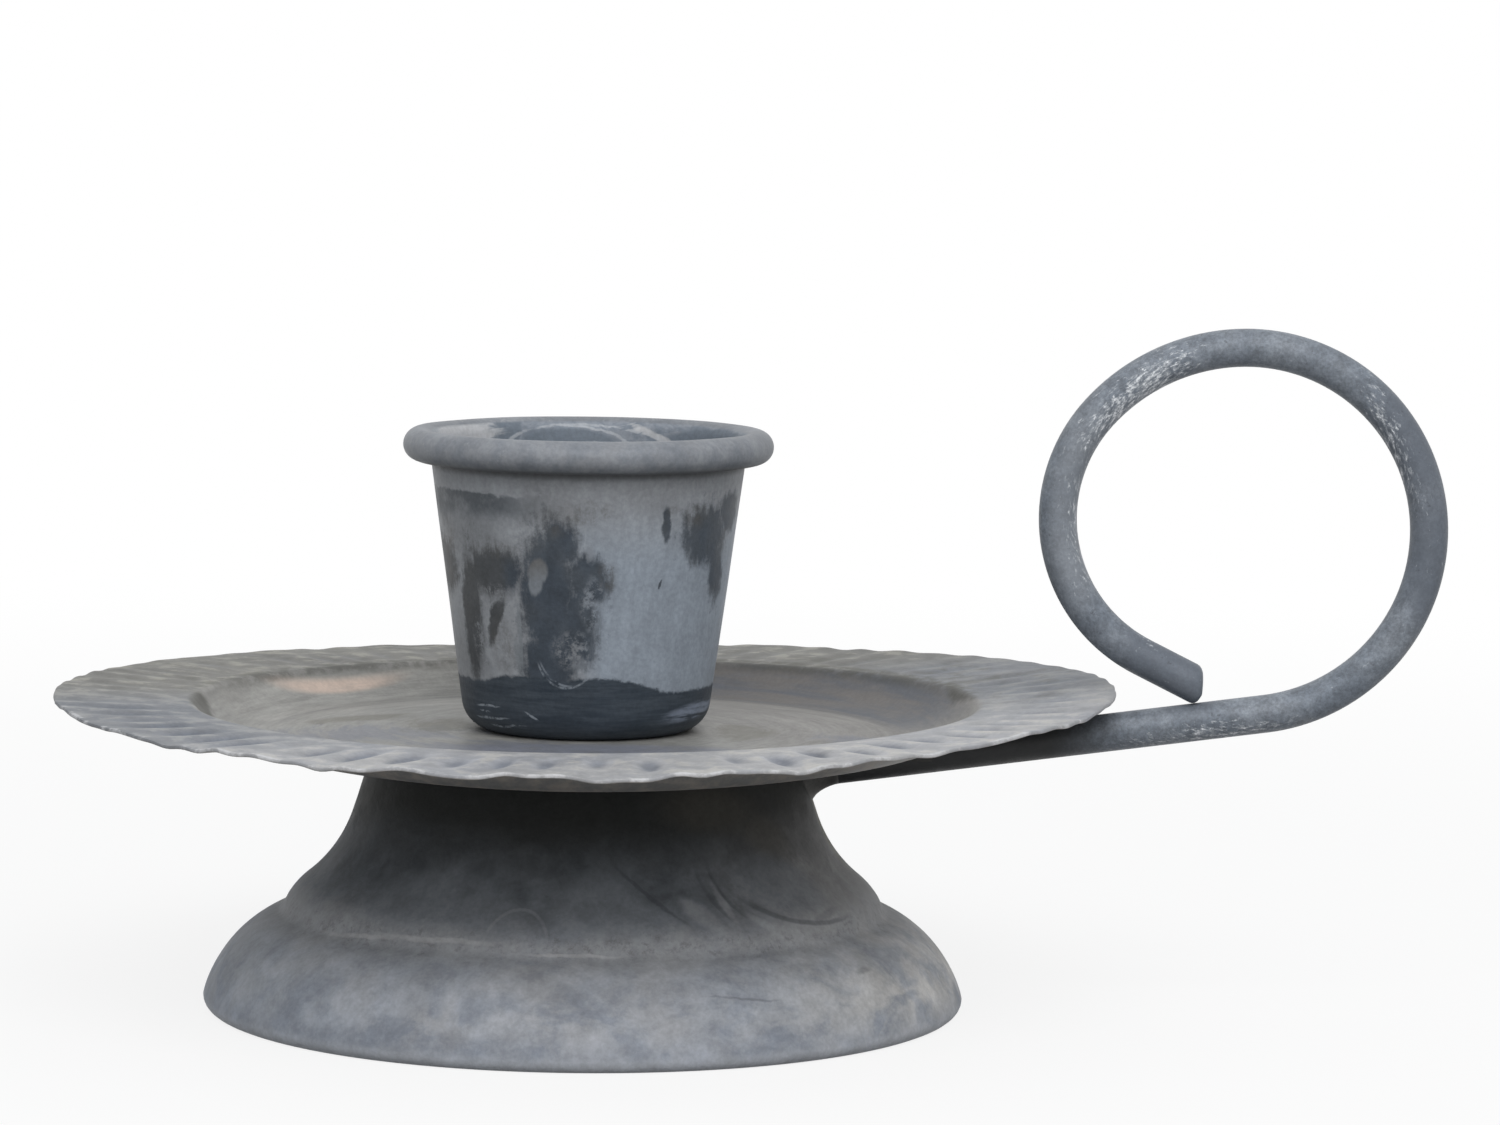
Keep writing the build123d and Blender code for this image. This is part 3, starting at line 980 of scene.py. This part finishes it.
def cup_finish():
    """Bluish zinc with slate stains."""
    material, place = new_finish("cup_zinc_aged")
    spot = around(place, 15)
    z = parts_of(place)["Z"]
    mist = cloud(place, 9, 4)
    mottle = cloud(place, 2.6, 9, 6, 0.65)
    grain = cloud(place, 0.5, 2, 3, 0.6)
    streaks = cloud(stretch(place, (1, 1, 0.2)), 1, 6, 5, 0.7)
    speckle = cloud(place, 0.9, 12, 6, 0.75)
    clouds = (mist, mottle, streaks, speckle)
    cool = blend(fade(mist, 0.35, 0.65), (0.27, 0.308, 0.357), (0.308, 0.35, 0.405))
    warm = blend(fade(mist, 0.35, 0.65), (0.276, 0.288, 0.306), (0.333, 0.35, 0.375))
    turn = parts_of(spot)["X"]
    side = plus(turn, times(minus(mist, 0.5), 14))
    high = fade(z, 47, 56)
    left = plus(fall(side, -3, 3), fade(turn, 24, 42))
    colour = blend(larger(calc("MINIMUM", left, 1), high), cool, warm)
    colour = shade(colour, streaks, 0.92, 1.07)
    colour = shade(colour, mottle, 0.92, 1.08)
    colour = cup_stains(colour, spot, place, clouds)
    colour = cup_band(colour, spot, place, speckle)
    # Painted shadow: a thin dark line right under the rolled curl, where the curl shades the wall.
    painted_shadow_under_curl = times(fade(z, 56.6, 57.4), fall(z, 57.6, 58.2))
    colour = blend(painted_shadow_under_curl, colour, (0.05, 0.052, 0.052), 0.7)
    curl = fade(z, 57.7, 58.2)
    curl_tone = blend(fade(mottle, 0.36, 0.64), (0.2, 0.218, 0.245), (0.27, 0.283, 0.305))
    most = larger(fade(turn, -14, 2, 1, 0.3), fade(turn, 24, 42))
    curl_tone = blend(times(fade(speckle, 0.56, 0.66), most), curl_tone, (0.42, 0.425, 0.43), 0.45)
    curl_tone = shade(curl_tone, mist, 0.88, 1.12, 0.35, 0.65)
    colour = blend(curl, colour, curl_tone, 0.9)
    colour = cup_inside(colour, place)
    colour = shade(colour, grain, 0.93, 1.07, 0.35, 0.65)
    relief = plus(grain, times(mottle, 1.5))
    rough = fade(mottle, 0.25, 0.75, 0.42, 0.6)
    return finish_zinc(material, colour, rough, relief, 0.05)


candle_cup.data.materials.append(cup_finish())

# %% [markdown]
# ### Zinc of the foot
#
# Under the dish the foot is nearly black, partly darker patina and partly painted shade from the dish. The
# flare is slate, also partly painted shade, with paler arched clouds and a few curved lines where drops ran
# down, the bead is scuffed to a speckled grey, and the dome is cloudy and pale. The hem is paler still,
# partly by wear and partly by painted light that lifts the shade under its roll. What is drawn on one side
# only fades out before the back, so that no seam shows there.


# %% Foot finish
def foot_finish():
    """Zinc that goes from near black at the neck, partly patina and partly painted shade from the dish, to a
    cloudy pale dome.
    """
    material, place = new_finish("foot_zinc_aged")
    spot = around(place, 28)
    turn = parts_of(spot)["X"]
    height = parts_of(place)["Z"]
    mist = cloud(place, 15, 5, 3, 0.5)
    drift = cloud(place, 8, 14, 5, 0.62)
    puffs = cloud(stretch(place, (1, 1, 1.5)), 5, 21, 6, 0.6, 0.6)
    mottle = cloud(place, 2.4, 7, 7, 0.7)
    grain = cloud(place, 0.45, 3, 3, 0.6)
    speckle = cloud(place, 0.8, 11, 6, 0.78)
    loose = jostle(spot, place, 3.5, (1.4, 1, 0), 6)
    level = plus(height, times(minus(drift, 0.5), 4.5))

    pale = blend(fade(mist, 0.36, 0.64), (0.36, 0.39, 0.44), (0.44, 0.45, 0.475))
    right = times(fade(turn, 10, 32), fall(turn, 46, 76))
    left = times(fall(turn, -30, -14), fade(turn, -76, -46))
    pale = blend(right, pale, (0.6, 0.59, 0.575))
    pale = blend(left, pale, (0.31, 0.335, 0.37), 0.6)
    pale = blend(fall(height, 1, 5), pale, (0.3, 0.325, 0.375), 0.6)
    dome = blend(fade(puffs, 0.4, 0.66), pale, (0.26, 0.29, 0.345), 0.75)
    dome = blend(fade(level, 4, 10), dome, (0.37, 0.385, 0.415), 0.45)
    # The flare's slate is darker partly as patina and partly as painted shade from the dish above.
    flare = blend(fade(drift, 0.35, 0.65), (0.105, 0.117, 0.13), (0.18, 0.194, 0.212))
    flare = blend(right, flare, (0.3, 0.298, 0.3))
    dome = shade(dome, drift, 0.87, 1.12, 0.36, 0.64)
    flare = shade(flare, puffs, 0.8, 1.22, 0.34, 0.66)
    colour = blend(fade(level, 9, 16), dome, flare)
    arch = ovals(loose, [
        (-14.8, 13.4, 10.5, 5.2, 4), (3, 13.6, 6.5, 5, -12), (24, 16, 7.5, 3.4, -12),
    ])
    colour = blend(fade(arch, 0, 0.4), colour, (0.25, 0.268, 0.293), 0.55)
    # Near black towards the neck: partly darker patina, partly painted shade under the dish.
    colour = blend(fade(level, 16, 23.5), colour, (0.033, 0.034, 0.031), 0.92)
    # A paler brownish patch on the right of the neck: partly a brown tone of the zinc, partly painted light
    # from the right.
    brown = ovals(loose, [(17, 23.8, 10, 3.6, -8), (25, 20.5, 6, 3, -20)])
    colour = blend(fade(brown, 0, 0.7), colour, (0.11, 0.104, 0.09), 0.6)
    # Painted highlight: a thin olive streak of light along the right edge of the neck.
    olive = ovals(spot, [(43.5, 20, 3.2, 7, 0)])
    colour = blend(fade(olive, 0, 0.7), colour, (0.27, 0.26, 0.2), 0.6)

    scuff = minus(1, calc("DIVIDE", gap(height, 11.1), 2.4))
    scuffed = ragged(scuff, drift, 2.4, 0, 0.9)
    colour = blend(scuffed, colour, (0.36, 0.365, 0.375), 0.6)
    pitted = times(ragged(scuff, puffs, 2.8, 0.3, 0.9), fade(speckle, 0.48, 0.64))
    colour = blend(pitted, colour, (0.15, 0.147, 0.145), 0.5)
    rub = ovals(loose, [(-13, 11.3, 8, 0.35, 2), (0, 10.5, 6, 0.22, 0), (-22, 10.7, 6, 0.3, 3)])
    colour = blend(ragged(rub, speckle, 1.2, 0, 0.6), colour, (0.5, 0.5, 0.51), 0.5)

    drips = hoops(jostle(spot, place, 5, (0.6, 0.6, 0), 3), [
        (22.9, 18.6, 9.3, 8.3, 0, 203, 0.84), (22.9, 18.6, 7.7, 7.4, 0, 205, 0.82),
        (28.1, 16.8, 10.8, 4.9, 0, 243, 0.66),
    ], 0.32)
    straight = ovals(loose, [(7.4, 16, 5.6, 0.3, -38)])
    drips = larger(drips, fade(straight, 0, 0.6))
    colour = blend(drips, colour, (0.07, 0.077, 0.088), 0.5)
    ring = hoops(spot, [(-5.4, 11.6, 2.9, 2.9, 0, 110, -0.5)], 0.22)
    colour = blend(ring, colour, (0.36, 0.375, 0.395), 0.3)
    pale_marks = ovals(loose, [
        (12.6, 13.9, 3.2, 1.3, -38), (15.6, 14.6, 0.6, 2.6, 14), (18.6, 12.9, 2, 0.6, -30),
        (25.6, 2.7, 0.18, 2.8, -44), (26.6, 2.4, 0.12, 1.8, -40),
    ])
    colour = blend(fade(pale_marks, 0, 0.6), colour, (0.4, 0.41, 0.43), 0.45)
    smudges = ovals(loose, [
        (26.4, 7.6, 1.6, 0.4, 4), (28, 12.6, 3, 0.5, 8), (13.5, 6.6, 4, 0.16, -8),
    ])
    colour = blend(fade(smudges, 0, 0.7), colour, (0.13, 0.135, 0.145), 0.4)
    # Paler hem: partly wear along its edge, partly painted light that lifts the shade under the rolled hem.
    colour = blend(fall(height, 0.4, 2), colour, (0.6, 0.625, 0.67), 0.75)
    colour = shade(colour, mottle, 0.85, 1.15)
    colour = shade(colour, grain, 0.95, 1.05, 0.35, 0.65)
    relief = plus(grain, times(mottle, 1.5))
    rough = fade(mottle, 0.25, 0.75, 0.52, 0.7)
    return finish_zinc(material, colour, rough, relief, 0.05, 0.05, 0.12)


pedestal_foot.data.materials.append(foot_finish())

# %% [markdown]
# ### Zinc of the dish
#
# The dish is the palest piece. Its floor has faint turning marks that run round it, with bluish and olive
# patches, and painted shade lies along the lip at the back. Its rim has painted bluish shade in the dimples
# and painted highlights between them, and is worn bright along the edge.


# %% Dish finish
def well_colour(place, flat, radius, turned, mist, mottle):
    """Floor and wall of the well: turning marks, bluish and olive strokes, painted shade at its ends, a
    painted reflection of the cup and a painted warm highlight at the back.
    """
    x, y = parts_of(flat)[:2]
    rings = cloud(turned, 1.6, 3, 5, 0.7)
    strokes = cloud(turned, 2.4, 15, 6, 0.68, 0.4)
    fine = cloud(turned, 0.5, 8, 4, 0.6)
    colour = blend(fade(mist, 0.35, 0.65), (0.29, 0.289, 0.276), (0.34, 0.335, 0.318))
    right = fade(plus(x, times(y, 0.4)), 4, 24)
    colour = blend(right, colour, (0.25, 0.241, 0.23), 0.85)
    colour = shade(colour, rings, 0.92, 1.07)
    colour = shade(colour, strokes, 0.84, 1.14, 0.32, 0.68)
    colour = shade(colour, fine, 0.9, 1.1)
    lilac = ovals(flat, [
        (-22, -6, 16, 10, 8), (0, -19, 20, 6.5, 0), (-10, -16, 14, 7, 0), (30, -6, 8, 7, 0),
    ])
    lilac = ragged(lilac, strokes, 3, 0.1, 0.7)
    colour = blend(lilac, colour, (0.165, 0.178, 0.215), 0.7)
    # Painted reflection and shade of the cup: a bluish band on the floor between the cup and the front lip.
    cup_reflection_strip = ovals(flat, [(2, -18, 19, 6.5, 0)])
    cup_reflection_strip = times(fade(cup_reflection_strip, 0, 0.4), fade(mottle, 0.32, 0.56, 0.35, 1))
    colour = blend(cup_reflection_strip, colour, (0.2, 0.213, 0.26), 0.75)
    olive = ovals(flat, [(-15.5, 1, 5.5, 8, 0), (16.5, -2, 4.5, 9, 0), (-24, 7, 8, 4, 20)])
    olive = ragged(olive, strokes, 2.2, 0, 0.6)
    colour = blend(olive, colour, (0.13, 0.126, 0.1), 0.65)
    cove = fade(plus(radius, times(minus(mottle, 0.5), 2)), 32.4, 34.6)
    back = times(cove, fade(y, 0, 14))
    shaded = times(back, fade(x, -2, 8))
    tone = blend(fade(strokes, 0.4, 0.62), (0.112, 0.124, 0.147), (0.158, 0.15, 0.146))
    colour = blend(shaded, colour, tone, 0.85)
    line = times(fall(gap(radius, 33), 0.3, 1.1), fade(strokes, 0.36, 0.56))
    line = times(line, fade(y, 0, 12))
    colour = blend(line, colour, (0.09, 0.092, 0.1), 0.55)
    # Painted shade: dark shade on the wall at the left and right ends of the well.
    loose = jostle(flat, place, 3, (2.4, 4, 0), 7)
    shaded_well_ends = ovals(loose, [(-40.8, -1, 2, 7, 2), (40.5, 10, 1.8, 7, 14)])
    colour = blend(fade(shaded_well_ends, 0, 0.5), colour, (0.065, 0.065, 0.055), 0.88)
    # Painted highlight: a thin warm streak of light on the upper wall at the back left.
    painted_highlight_oval = ovals(flat, [(-28.4, 26.2, 12, 1.4, 43)])
    gleam = times(fade(painted_highlight_oval, 0, 0.7), fade(rings, 0.25, 0.5, 0.4, 1))
    return blend(gleam, colour, (0.66, 0.53, 0.45), 0.9), rings


def rim_colour(place, flat, radius, mist, mottle):
    """Rim of the dish: painted bluish shade in the dimples, painted highlights on the crests, painted shade
    along the lip at the back, paler at the front and darker at the back.
    """
    x, y = parts_of(flat)[:2]
    valley = add_node("ShaderNodeAttribute", {}, attribute_name="crimp").outputs["Fac"]
    dabs = cloud(place, 3.2, 17, 5, 0.6)
    cool = blend(fade(mist, 0.3, 0.7), (0.172, 0.188, 0.213), (0.222, 0.233, 0.253))
    front = blend(fade(mist, 0.3, 0.7), (0.38, 0.392, 0.425), (0.45, 0.45, 0.455))
    back = blend(fade(mist, 0.3, 0.7), (0.15, 0.15, 0.141), (0.2, 0.198, 0.181))
    tilt = minus(y, times(x, 0.42))
    colour = blend(fade(tilt, -42, -8), front, cool)
    colour = blend(fade(tilt, 6, 28), colour, back)
    # Dimples: partly a bluish tint of the zinc, partly painted shade in the dents.
    colour = blend(fade(valley, 0.1, 0.6), colour, (0.15, 0.17, 0.215), 0.62)
    # Crests between the dimples: painted pale highlights.
    crest = times(fall(valley, 0, 0.1), fade(dabs, 0.47, 0.6))
    pale = blend(fade(y, -20, 20), (0.53, 0.51, 0.465), (0.31, 0.3, 0.26))
    bare = plus(fade(tilt, -46, -14, 1, 0.45), fade(tilt, 14, 34, 0, 0.9))
    crest = times(crest, bare)
    colour = blend(crest, colour, pale, 0.5)
    colour = shade(colour, dabs, 0.84, 1.14)
    grease = times(fade(y, -10, 8), fade(cloud(place, 6, 25, 5, 0.6), 0.52, 0.66))
    colour = blend(grease, colour, (0.11, 0.11, 0.096), 0.65)
    # Painted shade: a dark band on the rim along the lip at the back.
    lip = times(fall(radius, 42, 43.6), fade(y, 2, 16))
    colour = blend(times(lip, fade(mottle, 0.36, 0.56)), colour, (0.085, 0.085, 0.07), 0.8)
    worn = times(fade(radius, 54.9, 55.3), fade(dabs, 0.5, 0.58))
    worn = times(worn, fall(y, -24, -8))
    return blend(worn, colour, (0.68, 0.69, 0.72), 0.6)


def dish_finish():
    """Pale zinc with turning marks on the floor, painted shade and highlights on the rim, and a worn edge.
    """
    material, place = new_finish("dish_zinc_aged")
    x, y = parts_of(place)[:2]
    flat = joined(x, y)
    radius = measure("LENGTH", flat)
    heading = vector("NORMALIZE", flat)
    turned = vector("ADD", scaled(heading, 5), joined(0, 0, radius))
    mist = cloud(place, 12, 6, 3, 0.5)
    mottle = cloud(place, 2.2, 8, 6, 0.65)
    grain = cloud(place, 0.45, 5, 3, 0.6)
    well, rings = well_colour(place, flat, radius, turned, mist, mottle)
    ways = parts_of(heading)
    oval = minus(calc("POWER", ways["X"], 2), calc("POWER", ways["Y"], 2))
    evened = minus(radius, times(oval, lip_oval))
    rim = fade(evened, 40.3, 41.4)
    colour = blend(rim, well, rim_colour(place, flat, radius, mist, mottle))
    # Painted shade: darker along the lip at the back of the well.
    painted_shade_at_lip = times(fall(gap(evened, 40.7), 0.2, 1.2), fade(y, 4, 20))
    painted_shade_at_lip = times(painted_shade_at_lip, fade(mottle, 0.36, 0.56, 0.3, 1))
    colour = blend(painted_shade_at_lip, colour, (0.075, 0.074, 0.065), 0.7)
    normal = tree.nodes.new("ShaderNodeTexCoord").outputs["Normal"]
    down = fall(parts_of(normal)["Z"], -0.5, -0.2)
    under = blend(fade(mottle, 0.4, 0.62), (0.24, 0.237, 0.229), (0.33, 0.3, 0.27))
    colour = blend(down, colour, under)
    colour = shade(colour, mottle, 0.92, 1.08)
    colour = shade(colour, grain, 0.95, 1.05, 0.35, 0.65)
    relief = plus(grain, plus(times(mottle, 1.2), rings))
    rough = fade(mottle, 0.25, 0.75, 0.42, 0.58)
    return finish_zinc(material, colour, rough, relief, 0.05)


drip_dish.data.materials.append(dish_finish())

# %% [markdown]
# ### Zinc of the rod
#
# The rod was dipped in molten zinc, which leaves a mottled skin with bright crystals where it is handled
# most, on the upper bend and on the inside of the loop, and small dark pits elsewhere.


# %% Rod finish
def rod_finish():
    """Mottled dipped zinc with bright flecks and dark pits."""
    material, place = new_finish("rod_zinc_aged")
    loop_middle = (69, 51, 0)
    x, y, z = parts_of(place)
    side = joined(x, z)
    from_middle = vector("SUBTRACT", side, loop_middle)
    bent = scaled(vector("NORMALIZE", from_middle), 8)
    along = vector("ADD", bent, joined(0, y, measure("LENGTH", from_middle)))
    mist = cloud(place, 6, 4, 4, 0.6)
    mottle = cloud(place, 1.5, 9, 7, 0.72)
    crystals = cloud(along, 0.38, 6, 5, 0.75)
    pits = cloud(place, 0.7, 13, 4, 0.7)
    dust = cloud(place, 0.35, 19, 4, 0.7)
    colour = blend(fade(mist, 0.35, 0.65), (0.175, 0.2, 0.235), (0.24, 0.265, 0.3))
    colour = shade(colour, mottle, 0.74, 1.28)
    colour = shade(colour, dust, 0.8, 1.2)
    plain = ovals(side, [
        (89, 48, 4.5, 12, 0), (61.2, 36.6, 8.6, 4.8, -40), (86, 61, 5, 9, 22),
    ])
    colour = blend(fade(plain, 0, 0.6), colour, (0.13, 0.148, 0.178), 0.7)
    lighter = ovals(side, [(51.5, 53, 4.5, 14, -4)])
    colour = blend(fade(lighter, 0, 0.6), colour, (0.29, 0.31, 0.34), 0.5)
    rubbed = ovals(side, [
        (57, 64.8, 11.5, 3.4, 42), (84, 60.5, 2, 10, 22), (57.6, 42.4, 2.2, 5, 32),
        (66, 29.6, 14, 2.2, 8), (51.8, 52, 2.4, 10, 4),
    ])
    many = plus(crystals, times(fade(rubbed, -0.2, 0.8), 0.15))
    handled = fade(ovals(side, [(57.5, 65.6, 11, 3, 42)]), 0, 0.7)
    many = plus(many, times(handled, 0.05))
    colour = blend(fade(many, 0.61, 0.72), colour, (0.48, 0.51, 0.55), 0.75)
    bright = plus(many, times(fade(dust, 0.4, 0.7), 0.08))
    colour = blend(fade(bright, 0.73, 0.79), colour, (0.85, 0.87, 0.9), 0.95)
    colour = blend(fade(pits, 0.62, 0.7), colour, (0.07, 0.075, 0.085), 0.55)
    # Painted shadow: the rod is darkened where it runs under the dish, in the dish's shadow.
    painted_shadow_under_dish = times(fall(x, 48, 57.5), fall(z, 32.5, 35))
    colour = blend(painted_shadow_under_dish, colour, (0.042, 0.043, 0.044))
    relief = plus(mottle, times(pits, -0.6))
    rough = fade(mottle, 0.25, 0.75, 0.38, 0.56)
    return finish_zinc(material, colour, rough, relief, 0.12)


finger_loop.data.materials.append(rod_finish())

# %% [markdown]
# ### Solder and fixings
#
# The solder under the dish, the screw, the washer and the nut keep their solids, which already have the
# right shape. Solder dulls to a grainy dark grey, and the plated steel of the fixings goes patchy, so both
# get a finish of their own.


# %% Solder and fixings
def plain_finish(name, dark, pale, size, metal, roughness):
    """A patchy metal finish between two greys."""
    material, place = new_finish(name)
    patches = cloud(place, size, 4, 5, 0.65)
    grain = cloud(place, 0.3, 7, 3, 0.6)
    colour = blend(fade(patches, 0.3, 0.7), dark, pale)
    colour = shade(colour, grain, 0.88, 1.12)
    rough = fade(patches, 0.25, 0.75, roughness - 0.08, roughness + 0.1)
    return finish_zinc(material, colour, rough, grain, 0.04, metal)


def dress(names, material):
    """Gives carried-over solids this finish."""
    for name in names:
        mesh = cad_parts[name].data
        mesh.materials.clear()
        mesh.materials.append(material)


dull_solder = plain_finish("dull_solder", (0.05, 0.05, 0.048), (0.085, 0.083, 0.078), 1.5, 0.2, 0.55)
dress(("dish_solder",), dull_solder)
neck_fillet.data.materials.append(dull_solder)
dress(
    ("centre_screw", "foot_washer", "hex_nut"),
    plain_finish("plated_steel", (0.2, 0.2, 0.2), (0.36, 0.355, 0.345), 2, 0.8, 0.4),
)
